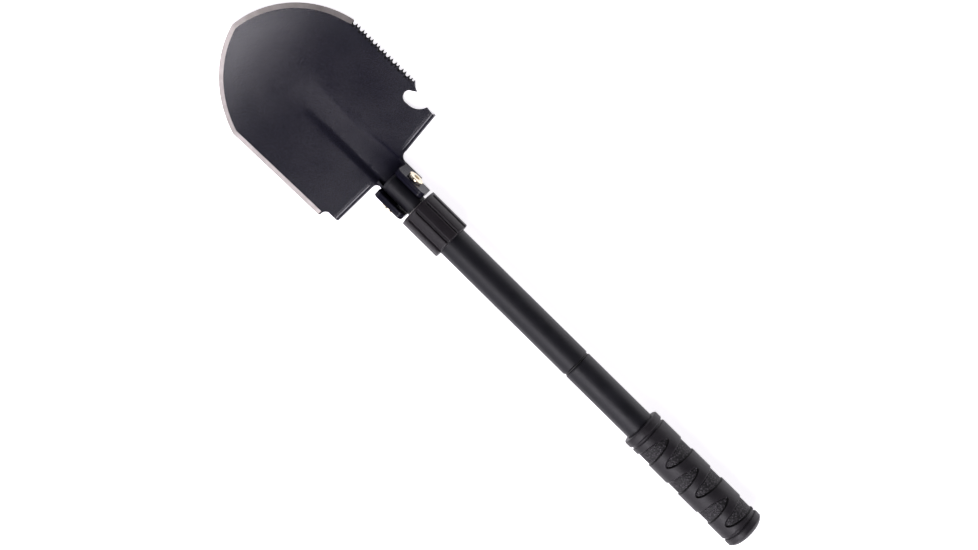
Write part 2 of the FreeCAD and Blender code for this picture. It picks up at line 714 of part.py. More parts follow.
# ================================================================ grip and butt
def make_grip():
    """Rubber sleeve: a flange and groove at the top, a lip and groove at the end."""
    bore = TUBE_RADIUS + 0.02
    flange_end = GRIP_TOP_Y - GRIP_FLANGE
    body_top = flange_end - GRIP_GROOVE
    body_end = GRIP_END_Y + GRIP_GROOVE
    edge = 1.2
    return revolve([
        (bore, GRIP_TOP_Y), (GRIP_FLANGE_RADIUS - edge, GRIP_TOP_Y),
        (GRIP_FLANGE_RADIUS - edge * 0.3, GRIP_TOP_Y - edge * 0.3),
        (GRIP_FLANGE_RADIUS, GRIP_TOP_Y - edge), (GRIP_FLANGE_RADIUS, flange_end + edge),
        (GRIP_FLANGE_RADIUS - edge, flange_end), (GRIP_GROOVE_RADIUS, flange_end),
        (GRIP_GROOVE_RADIUS, body_top), (GRIP_RADIUS - 0.4, body_top),
        (GRIP_RADIUS, body_top - 0.4), (GRIP_RADIUS, body_end + 0.4),
        (GRIP_RADIUS - 0.4, body_end), (GRIP_GROOVE_RADIUS, body_end),
        (GRIP_GROOVE_RADIUS, GRIP_END_Y), (bore, GRIP_END_Y),
    ])


def make_end_cap():
    """Moulded butt cap: a flange under the grip and a shallow dome with a flat centre."""
    r = GRIP_FLANGE_RADIUS
    top = GRIP_END_Y
    bottom = -HALF_LENGTH
    dome_start = bottom + CAP_DOME
    dome_span = r - CAP_FLAT_RADIUS
    dome_radius = (dome_span ** 2 + CAP_DOME ** 2) / (2 * CAP_DOME)
    half_turn = math.asin(dome_span / dome_radius) / 2
    dome_middle = Vector(CAP_FLAT_RADIUS + dome_radius * math.sin(half_turn),
                         bottom + dome_radius * (1 - math.cos(half_turn)), 0)
    edges = [
        line(Vector(0, top, 0), Vector(r - 1.2, top, 0)),
        arc(Vector(r - 1.2, top, 0), Vector(r - 0.35, top - 0.35, 0), Vector(r, top - 1.2, 0)),
        line(Vector(r, top - 1.2, 0), Vector(r, dome_start, 0)),
        arc(Vector(r, dome_start, 0), dome_middle, Vector(CAP_FLAT_RADIUS, bottom, 0)),
        line(Vector(CAP_FLAT_RADIUS, bottom, 0), Vector(0, bottom, 0)),
        line(Vector(0, bottom, 0), Vector(0, top, 0)),
    ]
    cap = Part.Face(Part.Wire(edges)).revolve(Vector(0, 0, 0), Vector(0, 1, 0), 360)
    spigot = rod(JOINT_THREAD_RADIUS, top - 0.5, top + PLUG_LENGTH - 4)
    return cap.fuse(spigot).removeSplitter()


def make_end_plug():
    """Sleeve pressed in the rear tube that holds the butt cap's spigot."""
    return ring(TUBE_BORE - FIT_GAP, JOINT_THREAD_RADIUS + FIT_GAP, GRIP_END_Y, GRIP_END_Y + PLUG_LENGTH)


PARTS = {
    "blade": make_blade,
    "inner_bracket": make_inner_bracket,
    "pivot_barrel": make_pivot_barrel,
    "pivot_screw": make_pivot_screw,
    "pivot_washers": make_pivot_washers,
    "thrust_washer": make_thrust_washer,
    "lock_collar": make_collar,
    "tang": make_tang,
    "tang_pins": make_tang_pins,
    "threaded_ferrule": make_ferrule,
    "front_tube": make_front_tube,
    "joint_socket": make_joint_socket,
    "joint_seal": make_joint_o_ring,
    "joint_stud": make_joint_stud,
    "rear_tube": make_rear_tube,
    "grip": make_grip,
    "end_plug": make_end_plug,
    "end_cap": make_end_cap,
}

for name, make in PARTS.items():
    export(make(), name)
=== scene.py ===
import math

import bmesh
import bpy
import numpy as np
from mathutils import Matrix, Vector


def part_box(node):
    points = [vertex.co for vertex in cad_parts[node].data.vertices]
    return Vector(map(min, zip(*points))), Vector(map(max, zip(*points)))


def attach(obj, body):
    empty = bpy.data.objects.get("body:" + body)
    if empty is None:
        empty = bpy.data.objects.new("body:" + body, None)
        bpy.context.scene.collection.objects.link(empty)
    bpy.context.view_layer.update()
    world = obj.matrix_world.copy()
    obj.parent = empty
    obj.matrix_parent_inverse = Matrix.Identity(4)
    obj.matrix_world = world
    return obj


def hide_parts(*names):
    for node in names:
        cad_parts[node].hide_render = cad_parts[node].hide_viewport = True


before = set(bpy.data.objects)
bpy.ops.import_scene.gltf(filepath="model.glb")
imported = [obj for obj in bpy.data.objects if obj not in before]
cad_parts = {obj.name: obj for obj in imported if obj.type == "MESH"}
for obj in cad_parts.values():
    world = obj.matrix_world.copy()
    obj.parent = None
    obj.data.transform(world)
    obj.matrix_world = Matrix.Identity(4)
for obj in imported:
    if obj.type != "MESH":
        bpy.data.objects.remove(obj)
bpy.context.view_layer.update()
MM = 0.001
FULL_TURN = 2 * math.pi

# ---------------------------------------------------------------- places read from the frame
tube_low, tube_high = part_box("front_tube")
AXIS_Z = (tube_low.z + tube_high.z) / 2
TUBE_RADIUS = (tube_high.z - tube_low.z) / 2
TIP_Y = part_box("blade")[1].y

# ---------------------------------------------------------------- camera
SENSOR_WIDTH = 36
VIEW_WIDTH = 755.016 * MM
CAMERA_DISTANCE = 1.16
ROLL_DEG = 18.0
HANDLE_SLOPE_DEG = 44.6
AIM_ALONG = 1.2 * MM
AIM_ASIDE = 1.5 * MM

# ---------------------------------------------------------------- blade edge
TIP_X = -3.5 * MM
POINT_RADIUS = 87 * MM
POINT_CENTRE_OFFSET = 15.2 * MM
LEFT_CORNER = Vector((-70 * MM, 225 * MM, 0))
BEVEL_START = Vector((-68 * MM, 132.2 * MM, 0))
BEVEL_OVERRUN = 2 * MM
BEVEL_REACH = 5.0 * MM
BEVEL_LEAST_LEAN = 0.1
BEVEL_LEAST_NORMAL_Z = -0.2
SAW_END_Y = 149 * MM
SAW_START_Y = 213 * MM
SAW_INNER_X = 61 * MM
SAW_WALL_MAX_NORMAL_Z = 0.75
BLADE_WELD = 0.002 * MM
BLADE_SMOOTH_DEG = 16

# ---------------------------------------------------------------- blade coat: shine with painted shade, and edge rounding
EARS_TOP_Y = 106 * MM
SHEET_START_Y = 112 * MM
NECK_PAINTED_SHADE_END_Y = 185 * MM
SHEET_SHINE = 0.5
# Lower shine in the rib's channel near the neck is painted shade.
CHANNEL_PAINTED_SHADE_SHINE = 0.27
# Each painted shade is what the shine is multiplied by to paint shade or the hinge's shadow: at its
# strongest, and away from there.
NECK_PAINTED_SHADE = (0.68, 0.92)
SPOT_PAINTED_SHADOW = (0.02, 1.0)
EARS_PAINTED_SHADE = (0.5, 1.0)
CHANNEL_FLOOR = 6 * MM
CHANNEL_SIDE = 14 * MM
CHANNEL_FADE_Y = 150 * MM
CHANNEL_END_Y = 212 * MM
# A spot by the neck where the shine is nearly taken away: a painted shadow of the hinge.
PAINTED_SHADOW_SPOT = (6 * MM, 108 * MM)
PAINTED_SHADOW_SPOT_SIZE = (27 * MM, 42 * MM)
PAINTED_SHADOW_SPOT_CORE = 0.2
ROUNDING_CHANGE_Y = 107 * MM
EAR_ROUNDING = 0.9 * MM
SHEET_ROUNDING = 0.4 * MM

# ---------------------------------------------------------------- pivot plating
EAR_FACE_X = 13.6 * MM
PLATING_START_X = 13.9 * MM

# ---------------------------------------------------------------- lock collar
COLLAR_PANELS = 10
COLLAR_TURN = math.radians(8.0)
COLLAR_STEPS = 360
COLLAR_ROWS = 24
COLLAR_BORE = 13.4 * MM
# Points of the low end's rounded chamfer, in millimetres inwards and up from the corner.
COLLAR_CHAMFER = [(0.8, 0.1), (0.25, 0.45), (0, 0.8)]
COLLAR_PANEL_START = 1.6 * MM
COLLAR_RIM = 1.8 * MM
COLLAR_RIM_ROUND = 0.5 * MM
CUP_CLEARANCE = 0.05 * MM
CUP_CHAMFER = 0.1 * MM
GROOVE_FLOOR = 0.3 * MM
GROOVE_STEEP_SIDE = 1.1 * MM
GROOVE_ROUND_SIDE = 2.3 * MM
GROOVE_DEPTH = 1.35 * MM
GROOVE_RUN_OUT = 0.8 * MM
GROOVED_WALL = 1.5 * MM
CROWN_HEIGHT = 0.12 * MM
COLLAR_SMOOTH_DEG = 40

# ---------------------------------------------------------------- grip
GRIP_FRONT = math.radians(17.5)
GRIP_STEPS = 300
GRIP_ROWS = 300
GRIP_RADIUS = 16.6 * MM
GRIP_FIT = 0.02 * MM
GRIP_MOUTH = 1.2 * MM
GRIP_LIP = 0.6 * MM
GRIP_GROOVE_RADIUS = 15.2 * MM
GRIP_GROOVE = 2.0 * MM
GRIP_GROOVE_CHAMFER = 0.2 * MM
GRIP_FLANGE = 6.8 * MM
GRIP_FLANGE_ROUND = 1.3 * MM
GRIP_SMOOTH_DEG = 60
LEAF_PAIRS = 3
LEAF_DEPTH = 1.4 * MM
LEAF_WALL = 0.6 * MM
LEAF_HALF_HEIGHT = 6.0 * MM
LEAF_REACH = math.radians(119)
LEAF_FIRST = 19.7 * MM
LEAF_PITCH = 31.85 * MM
LEAF_OFFSET = 14.8 * MM
LEAF_LEAST_SLOPE = 1e-9
PAINTED_SHADE_REACH = 0.5 * MM
PEBBLE_CELLS = 5
PEBBLE_HEIGHT = 0.5 * MM
PEBBLE_START = 0.8 * LEAF_WALL
PEBBLE_FULL = 2 * LEAF_WALL

# ---------------------------------------------------------------- light and floor
BASE_LIGHT = 0.05
LIGHT_TINT = (0.96, 0.93, 1.0, 1)
# Each light: direction towards it, cosine where it starts, cosine where it is full, strength.
SOFTBOXES = [
    ((-0.355, -0.28, 0.89), 0.95, 0.975, 9.0),
    ((-0.77, -0.35, 0.53), 0.85, 0.98, 2.2),
    ((0.50, -0.75, 0.45), 0.76, 0.97, 0.8),
    ((-0.45, 0.80, 0.40), 0.76, 0.97, 1.8),
]
FLOOR_HALF_SIDE = 4.0
FLOOR_GAP = 0.5 * MM
FLOOR_GLOW = 0.85


# ================================================================ materials
NOISE_LOW = 0.3
NOISE_HIGH = 0.7


class Finish:
    """A procedural material: a Principled shader and the nodes that drive it."""

    def __init__(self, name, **sockets):
        self.material = bpy.data.materials.new(name)
        self.material.use_nodes = True
        self.tree = self.material.node_tree
        self.shader = self.tree.nodes["Principled BSDF"]
        self.place = self.add("ShaderNodeTexCoord").outputs["Object"]
        for socket, value in sockets.items():
            self.shader.inputs[socket.replace("_", " ")].default_value = value

    def add(self, kind, inputs=None, **settings):
        node = self.tree.nodes.new(kind)
        for key, value in settings.items():
            setattr(node, key, value)
        for key, value in (inputs or {}).items():
            self.feed(node.inputs[key], value)
        return node

    def feed(self, socket, value):
        if isinstance(value, bpy.types.NodeSocket):
            self.tree.links.new(value, socket)
        else:
            socket.default_value = value

    def number(self, operation, *values):
        return self.add("ShaderNodeMath", dict(enumerate(values)), operation=operation).outputs[0]

    def vector(self, operation, *values, result="Vector"):
        return self.add("ShaderNodeVectorMath", dict(enumerate(values)), operation=operation).outputs[result]

    def coordinate(self, axis):
        return self.add("ShaderNodeSeparateXYZ", {"Vector": self.place}).outputs[axis]

    def noise(self, size, detail=2.0, stretch=(1, 1, 1)):
        """Noise whose features are `size` metres across, longer where stretch is over 1."""
        place = self.vector("MULTIPLY", self.place, tuple(1 / (size * s) for s in stretch))
        node = self.add("ShaderNodeTexNoise", {"Vector": place, "Scale": 1.0, "Detail": detail})
        return node.outputs["Fac"]

    def spread(self, value, low, high, start=0.0, end=1.0):
        """Map value from low..high to start..end, held at the ends."""
        node = self.add("ShaderNodeMapRange", {"Value": value, "From Min": low, "From Max": high,
                                               "To Min": start, "To Max": end})
        return node.outputs["Result"]

    def contrast(self, noise, start=0.0, end=1.0):
        """Map the range that noise mostly keeps to onto start..end."""
        return self.spread(noise, NOISE_LOW, NOISE_HIGH, start, end)

    def mix(self, factor, first, second):
        node = self.add("ShaderNodeMix", data_type="RGBA")
        self.feed(node.inputs[0], factor)
        self.feed(node.inputs[6], first)
        self.feed(node.inputs[7], second)
        return node.outputs[2]

    def colour(self, factor, first, second):
        self.feed(self.shader.inputs["Base Color"], self.mix(factor, (*first, 1), (*second, 1)))

    def roughness(self, value, low, high):
        self.feed(self.shader.inputs["Roughness"], self.contrast(value, low, high))

    def relief(self, layers, edge=0.0):
        """Bump from (height, depth) layers over a normal that rounds edges by `edge` metres."""
        normal = None
        if edge:
            normal = self.add("ShaderNodeBevel", {"Radius": edge}, samples=8).outputs["Normal"]
        for height, depth in layers:
            inputs = {"Height": height, "Distance": depth, "Strength": 1.0}
            if normal is not None:
                inputs["Normal"] = normal
            normal = self.add("ShaderNodeBump", inputs).outputs["Normal"]
        self.feed(self.shader.inputs["Normal"], normal)


def coat_shine_with_painted_shade(finish):
    """Specular level, lowered as painted shade in the rib's channel, near the neck and on the ears, and as a
    painted shadow in a spot by the neck.
    """
    y = finish.coordinate("Y")
    in_channel = finish.spread(finish.number("ABSOLUTE", finish.coordinate("X")),
                               CHANNEL_FLOOR, CHANNEL_SIDE, 1.0, 0.0)
    near_neck = finish.spread(y, CHANNEL_FADE_Y, CHANNEL_END_Y, 1.0, 0.0)
    channel = finish.number("MULTIPLY", in_channel, near_neck)
    shine = finish.spread(channel, 0.0, 1.0, SHEET_SHINE, CHANNEL_PAINTED_SHADE_SHINE)

    from_spot = finish.vector("ADD", finish.place, (-PAINTED_SHADOW_SPOT[0], -PAINTED_SHADOW_SPOT[1], 0))
    from_spot = finish.vector("MULTIPLY", from_spot, (1 / PAINTED_SHADOW_SPOT_SIZE[0], 1 / PAINTED_SHADOW_SPOT_SIZE[1], 0))
    outside_spot = finish.vector("LENGTH", from_spot, result="Value")
    for painted_shade in (finish.spread(outside_spot, PAINTED_SHADOW_SPOT_CORE, 1.0, *SPOT_PAINTED_SHADOW),
                    finish.spread(y, SHEET_START_Y, NECK_PAINTED_SHADE_END_Y, *NECK_PAINTED_SHADE),
                    finish.spread(y, EARS_TOP_Y, SHEET_START_Y, *EARS_PAINTED_SHADE)):
        shine = finish.number("MULTIPLY", shine, painted_shade)
    return shine


def blade_coating():
    finish = Finish("blade_powder_coat", IOR=1.56)
    peel = finish.noise(1.1 * MM, 3.0)
    grain = finish.noise(0.35 * MM, 1.0)
    cloud = finish.noise(22 * MM, 3.0)
    finish.colour(finish.spread(grain, 0.35, 0.7), (0.0065, 0.0062, 0.0115), (0.0155, 0.015, 0.0255))
    finish.roughness(cloud, 0.18, 0.23)
    # Specular level that carries painted shade and a painted shadow near the neck.
    finish.feed(finish.shader.inputs["Specular IOR Level"], coat_shine_with_painted_shade(finish))
    edge = finish.spread(finish.coordinate("Y"), ROUNDING_CHANGE_Y, SHEET_START_Y,
                         EAR_ROUNDING, SHEET_ROUNDING)
    finish.relief([(peel, 0.085 * MM), (grain, 0.02 * MM)], edge)
    return finish.material


# Near-black, low-shine walls of the gaps between the saw's points: painted shade.
def saw_gap_painted_shade():
    finish = Finish("saw_gap_painted_shade_black", IOR=1.5)
    score = finish.noise(0.2 * MM, 2.0, (1, 6, 1))
    finish.colour(finish.contrast(score), (0.0012, 0.0012, 0.0016), (0.004, 0.004, 0.005))
    finish.roughness(score, 0.5, 0.7)
    finish.feed(finish.shader.inputs["Specular IOR Level"], finish.contrast(score, 0.1, 0.3))
    finish.relief([(score, 0.02 * MM)])
    return finish.material


def ground_steel():
    finish = Finish("ground_steel", Metallic=1.0)
    streak = finish.noise(0.25 * MM, 2.0, (9, 1, 9))
    cloud = finish.noise(7 * MM, 3.0)
    finish.colour(finish.contrast(cloud), (0.56, 0.51, 0.485), (0.70, 0.65, 0.625))
    finish.roughness(streak, 0.36, 0.54)
    finish.relief([(streak, 0.02 * MM)])
    return finish.material


def plated_metal():
    """Pale gold outside the ears, and dark between them."""
    finish = Finish("pale_gold_plating", Metallic=1.0)
    cloud = finish.noise(1.2 * MM, 3.0)
    scuff = finish.noise(0.3 * MM, 2.0)
    plated = finish.mix(finish.spread(cloud, 0.35, 0.65), (0.78, 0.67, 0.47, 1), (0.92, 0.86, 0.72, 1))
    aside = finish.number("ABSOLUTE", finish.coordinate("X"))
    outside = finish.spread(aside, EAR_FACE_X, PLATING_START_X)
    finish.feed(finish.shader.inputs["Base Color"], finish.mix(outside, (0.012, 0.012, 0.012, 1), plated))
    finish.roughness(scuff, 0.16, 0.34)
    finish.relief([(scuff, 0.01 * MM)], 0.2 * MM)
    return finish.material


def plain_steel():
    finish = Finish("turned_steel", Metallic=1.0)
    ring = finish.noise(0.3 * MM, 2.0, (12, 1, 12))
    cloud = finish.noise(4 * MM, 2.0)
    finish.colour(finish.contrast(cloud), (0.42, 0.40, 0.38), (0.56, 0.54, 0.52))
    finish.roughness(ring, 0.28, 0.48)
    finish.relief([(ring, 0.015 * MM)], 0.2 * MM)
    return finish.material


def turned_aluminium():
    finish = Finish("turned_aluminium", Metallic=1.0)
    ring = finish.noise(0.25 * MM, 2.0, (14, 1, 14))
    cloud = finish.noise(5 * MM, 2.0)
    finish.colour(finish.contrast(cloud), (0.62, 0.62, 0.64), (0.76, 0.76, 0.78))
    finish.roughness(ring, 0.24, 0.44)
    finish.relief([(ring, 0.02 * MM)], 0.2 * MM)
    return finish.material


def collar_coating():
    finish = Finish("collar_charcoal", IOR=1.35)
    grain = finish.noise(0.4 * MM, 2.0)
    cloud = finish.noise(6 * MM, 2.0)
    finish.colour(finish.contrast(grain), (0.0095, 0.0075, 0.0095), (0.022, 0.0185, 0.022))
    finish.roughness(cloud, 0.36, 0.46)
    finish.relief([(grain, 0.035 * MM)], 0.25 * MM)
    return finish.material


def tube_paint():
    finish = Finish("tube_paint", IOR=1.4)
    grain = finish.noise(0.8 * MM, 2.0)
    cloud = finish.noise(14 * MM, 3.0)
    finish.colour(finish.contrast(cloud), (0.0040, 0.0038, 0.0065), (0.0075, 0.0072, 0.011))
    finish.roughness(cloud, 0.43, 0.50)
    finish.relief([(grain, 0.02 * MM)], 0.25 * MM)
    return finish.material


def pebbled_rubber():
    finish = Finish("pebbled_rubber", IOR=1.42)
    pebble_size = 1.7 * MM
    place = finish.vector("MULTIPLY", finish.place, (1 / pebble_size,) * 3)
    cells = finish.add("ShaderNodeTexVoronoi", {"Vector": place, "Scale": 1.0})
    top = finish.spread(cells.outputs["Distance"], 0.15, 0.55, 1.0, 0.0)
    cloud = finish.noise(9 * MM, 3.0)
    # The colour follows the pebbles: light tops are painted highlight and the dark gaps between them painted
    # shade.
    finish.colour(top, (0.006, 0.005, 0.0065), (0.066, 0.060, 0.068))
    finish.roughness(cloud, 0.40, 0.50)
    finish.relief([(top, 0.35 * MM)])
    return finish.material


def soft_rubber(name, dark, light, ior=1.4):
    finish = Finish(name, IOR=ior)
    grain = finish.noise(0.25 * MM, 2.0)
    cloud = finish.noise(9 * MM, 3.0)
    finish.colour(finish.contrast(cloud), dark, light)
    finish.roughness(cloud, 0.44, 0.52)
    finish.relief([(grain, 0.03 * MM)])
    return finish.material


COATING = blade_coating()
PAINTED_SHADE_SAW_GAP = saw_gap_painted_shade()
STEEL = ground_steel()
PLATING = plated_metal()
WASHER_STEEL = plain_steel()
ALUMINIUM = turned_aluminium()
COLLAR = collar_coating()
PAINT = tube_paint()
GRIP_RUBBER = soft_rubber("grip_rubber", (0.0085, 0.0068, 0.0092), (0.0135, 0.0112, 0.0145))
PEBBLED_RUBBER = pebbled_rubber()
# Near-black rubber for the recesses' lower edges: painted shade.
PAINTED_SHADE_RUBBER = soft_rubber("painted_shade_rubber", (0.001, 0.001, 0.001), (0.002, 0.002, 0.002), 1.2)
SEAL_RUBBER = soft_rubber("seal_rubber", (0.006, 0.006, 0.006), (0.009, 0.009, 0.009))

CAD_FINISHES = {
    "front_tube": PAINT,
    "rear_tube": PAINT,
    "tang": PAINT,
    "inner_bracket": COATING,
    "pivot_barrel": PLATING,
    "pivot_screw": PLATING,
    "pivot_washers": WASHER_STEEL,
    "thrust_washer": WASHER_STEEL,
    "tang_pins": WASHER_STEEL,
    "threaded_ferrule": ALUMINIUM,
    "joint_socket": ALUMINIUM,
    "joint_stud": ALUMINIUM,
    "end_plug": ALUMINIUM,
    "joint_seal": SEAL_RUBBER,
    "end_cap": GRIP_RUBBER,
}


def finish_cad_nodes():
    for node, material in CAD_FINISHES.items():
        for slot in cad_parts[node].material_slots:
            slot.material = material


# ================================================================ mesh helpers
def add_piece(name, mesh, body, node, finish_of_face, materials):
    """Put a finished mesh on a body in place of the CAD node that it stands for."""
    for material in materials:
        mesh.materials.append(material)
    mesh.polygons.foreach_set("material_index", finish_of_face)
    piece = bpy.data.objects.new(name, mesh)
    bpy.context.scene.collection.objects.link(piece)
    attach(piece, body)
    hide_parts(node)


def smooth_by_angle(mesh, degrees):
    mesh.polygons.foreach_set("use_smooth", [True] * len(mesh.polygons))
    mesh.set_sharp_from_angle(angle=math.radians(degrees))


def turns_about_axis(steps):
    return np.arange(steps) * FULL_TURN / steps


def ring_mesh(name, radii, ys, angles):
    """Closed ring about the handle axis: one loop of (radius, y) points for each angle."""
    x = radii * np.sin(angles)[:, None]
    z = radii * np.cos(angles)[:, None] + AXIS_Z
    y = np.broadcast_to(ys, radii.shape)
    points = np.stack([x, y, z], axis=-1).reshape(-1, 3)
    steps, loop = radii.shape
    here = np.arange(steps)[:, None] * loop + np.arange(loop)[None, :]
    beside = np.roll(here, -1, axis=0)
    faces = np.stack([here, beside, np.roll(beside, -1, axis=1), np.roll(here, -1, axis=1)], axis=-1)
    mesh = bpy.data.meshes.new(name)
    mesh.from_pydata(points.tolist(), [], faces.reshape(-1, 4).tolist())
    bm = bmesh.new()
    bm.from_mesh(mesh)
    bmesh.ops.recalc_face_normals(bm, faces=bm.faces)
    bm.to_mesh(mesh)
    bm.free()
    return mesh


def smoothstep(value, low, high):
    t = np.clip((value - low) / (high - low), 0, 1)
    return t * t * (3 - 2 * t)


def rounded_corner(radius, y, size, from_deg, to_deg, steps=5):
    """Arc of (radius, y) points about the given centre; 0 degrees is away from the axis, 90 is +Y."""
    turns = [math.radians(from_deg + (to_deg - from_deg) * i / steps) for i in range(steps + 1)]
    return [(radius + size * math.cos(t), y + size * math.sin(t)) for t in turns]


# ================================================================ blade
def nearest_edge(x, y):
    """Direction out of the sheet, and distance inside its ground edge, at a place on the blade."""
    side = -1 if x < TIP_X else 1
    if side < 0 and y < LEFT_CORNER.y:
        along = (BEVEL_START - LEFT_CORNER).normalized()
        outward = Vector((along.y, -along.x, 0))
        return outward, outward.dot(LEFT_CORNER - Vector((x, y, 0)))
    centre_y = TIP_Y - math.sqrt(POINT_RADIUS ** 2 - POINT_CENTRE_OFFSET ** 2)
    reach = Vector((x - TIP_X + side * POINT_CENTRE_OFFSET, y - centre_y, 0))
    return reach.normalized(), POINT_RADIUS - reach.length


def is_ground(centre, normal):
    """Whether a face of the blade is part of the ground cutting edge."""
    x, y, _ = centre
    if y < BEVEL_START.y - BEVEL_OVERRUN or (x > TIP_X and y < SAW_START_Y):
        return False
    outward, inside = nearest_edge(x, y)
    leans_out = normal.dot(outward) > BEVEL_LEAST_LEAN and normal.z > BEVEL_LEAST_NORMAL_Z
    return inside < BEVEL_REACH and leans_out


def is_saw_gap_wall(centre, normal):
    """Whether a face of the blade is a wall of the gaps between the saw's points, which gets painted shade.
    """
    x, y, _ = centre
    is_wall = abs(normal.z) < SAW_WALL_MAX_NORMAL_Z
    return is_wall and x > SAW_INNER_X and SAW_END_Y < y < SAW_START_Y


def blade_finish(face):
    """Place of a face's material in the blade's list: coat, ground steel or the saw gaps' painted shade."""
    centre = face.calc_center_median()
    if is_ground(centre, face.normal):
        return 1
    if is_saw_gap_wall(centre, face.normal):
        return 2
    return 0


def make_blade():
    """The CAD blade's shape with its vertices joined, with its ground edge and painted shade on the walls of
    the saw's gaps.
    """
    bm = bmesh.new()
    bm.from_mesh(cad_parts["blade"].data)
    bmesh.ops.remove_doubles(bm, verts=bm.verts, dist=BLADE_WELD)
    bm.normal_update()
    points = [tuple(v.co) for v in bm.verts]
    faces = [tuple(v.index for v in f.verts) for f in bm.faces]
    finishes = [blade_finish(face) for face in bm.faces]
    bm.free()
    mesh = bpy.data.meshes.new("blade_sheet")
    mesh.from_pydata(points, [], faces)
    smooth_by_angle(mesh, BLADE_SMOOTH_DEG)
    add_piece("blade_sheet", mesh, "blade_assembly", "blade",
              finishes, [COATING, STEEL, PAINTED_SHADE_SAW_GAP])


# ================================================================ lock collar
def collar_profile(low, high, outer, panel_top):
    """Outline of the collar before its grooves are cut, from its bore at the low end and round."""
    washer_low, washer_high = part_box("thrust_washer")
    cup = (washer_high.x - washer_low.x) / 2 + CUP_CLEARANCE
    low_face = [(COLLAR_BORE, low.y), (COLLAR_BORE + 0.4 * MM, low.y), (outer - 1.4 * MM, low.y)]
    chamfer = [(outer - inward * MM, low.y + up * MM) for inward, up in COLLAR_CHAMFER]
    panel_ends = (low.y + COLLAR_PANEL_START, panel_top - GROOVE_RUN_OUT - 0.4 * MM)
    panels = [(outer, y) for y in np.linspace(*panel_ends, COLLAR_ROWS)]
    run_out = [(outer, panel_top + shift * MM) for shift in (-0.8, -0.5, -0.25, 0, 0.25)]
    rim = rounded_corner(outer - COLLAR_RIM_ROUND, high.y - COLLAR_RIM_ROUND, COLLAR_RIM_ROUND, 0, 90, 4)
    cup_wall = [(cup + CUP_CHAMFER, high.y), (cup, high.y - CUP_CHAMFER),
                (cup, washer_low.y), (COLLAR_BORE, washer_low.y)]
    return np.array(low_face + chamfer + panels + run_out + rim + cup_wall)


def make_collar():
    """Collar with evenly spaced grooves, steep on one side and rounded on the other."""
    low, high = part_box("lock_collar")
    outer = (high.x - low.x) / 2
    panel_top = high.y - COLLAR_RIM
    profile = collar_profile(low, high, outer, panel_top)
    r = profile[:, 0]
    y = profile[:, 1]
    angles = turns_about_axis(COLLAR_STEPS)
    pitch = FULL_TURN / COLLAR_PANELS
    from_groove = (angles - COLLAR_TURN + pitch / 2) % pitch - pitch / 2
    off_middle = 1 - np.abs(from_groove) / (pitch / 2)
    side = np.where(from_groove < 0, GROOVE_STEEP_SIDE, GROOVE_ROUND_SIDE)
    across = 1 - smoothstep(np.abs(from_groove) * outer, GROOVE_FLOOR, side)
    along = 1 - smoothstep(y, panel_top - GROOVE_RUN_OUT, panel_top)
    cut_rows = along * (r > outer - GROOVED_WALL)
    depth = (GROOVE_DEPTH * across + CROWN_HEIGHT * off_middle ** 2)[:, None] * cut_rows[None, :]
    mesh = ring_mesh("collar_shell", r[None, :] - depth, y, angles)
    smooth_by_angle(mesh, COLLAR_SMOOTH_DEG)
    add_piece("collar_shell", mesh, "collar", "lock_collar",
              [0] * len(mesh.polygons), [COLLAR])


# ================================================================ grip
def grip_profile(low, high):
    """Outline of the sleeve before its recesses, and which of its points are the grip's long body."""
    bore = TUBE_RADIUS + GRIP_FIT
    flange = (high.x - low.x) / 2 - GRIP_FLANGE_ROUND
    flange_end = high.y - GRIP_FLANGE
    body_top = flange_end - GRIP_GROOVE
    body_end = low.y + GRIP_GROOVE
    shoulder = GRIP_GROOVE_RADIUS + GRIP_GROOVE_CHAMFER
    body_edge = GRIP_RADIUS - GRIP_LIP
    top = [(bore, high.y), (bore + GRIP_MOUTH, high.y)]
    top += rounded_corner(flange, high.y - GRIP_FLANGE_ROUND, GRIP_FLANGE_ROUND, 90, 0)
    top += rounded_corner(flange, flange_end + GRIP_FLANGE_ROUND, GRIP_FLANGE_ROUND, 0, -90)
    top += [(shoulder, flange_end), (GRIP_GROOVE_RADIUS, flange_end - GRIP_GROOVE_CHAMFER)]
    top += [(GRIP_GROOVE_RADIUS, body_top + GRIP_GROOVE_CHAMFER), (shoulder, body_top)]
    top += rounded_corner(body_edge, body_top - GRIP_LIP, GRIP_LIP, 90, 0, 4)[:-1]
    body = [(GRIP_RADIUS, y) for y in np.linspace(body_top - GRIP_LIP, body_end + GRIP_LIP, GRIP_ROWS)]
    end = rounded_corner(body_edge, body_end + GRIP_LIP, GRIP_LIP, 0, -90, 4)[1:]
    end += [(shoulder, body_end), (GRIP_GROOVE_RADIUS, body_end - GRIP_GROOVE_CHAMFER)]
    end += [(GRIP_GROOVE_RADIUS, low.y), (bore, low.y)]
    return np.array(top + body + end), slice(len(top), len(top) + GRIP_ROWS)


def inside_leaf(angles, ys, centre_angle, centre_y):
    """About how far each place is inside a leaf-shaped recess's outline, negative outside it."""
    turn = (angles - centre_angle + math.pi) % FULL_TURN - math.pi
    u = (turn / LEAF_REACH)[:, None]
    w = ((ys - centre_y) / LEAF_HALF_HEIGHT)[None, :]
    slope_u = 2 * u / (LEAF_REACH * GRIP_RADIUS)
    slope_w = 2 * w / LEAF_HALF_HEIGHT
    slope = np.sqrt(slope_u ** 2 + slope_w ** 2) + LEAF_LEAST_SLOPE
    return (1 - u ** 2 - w ** 2) / slope


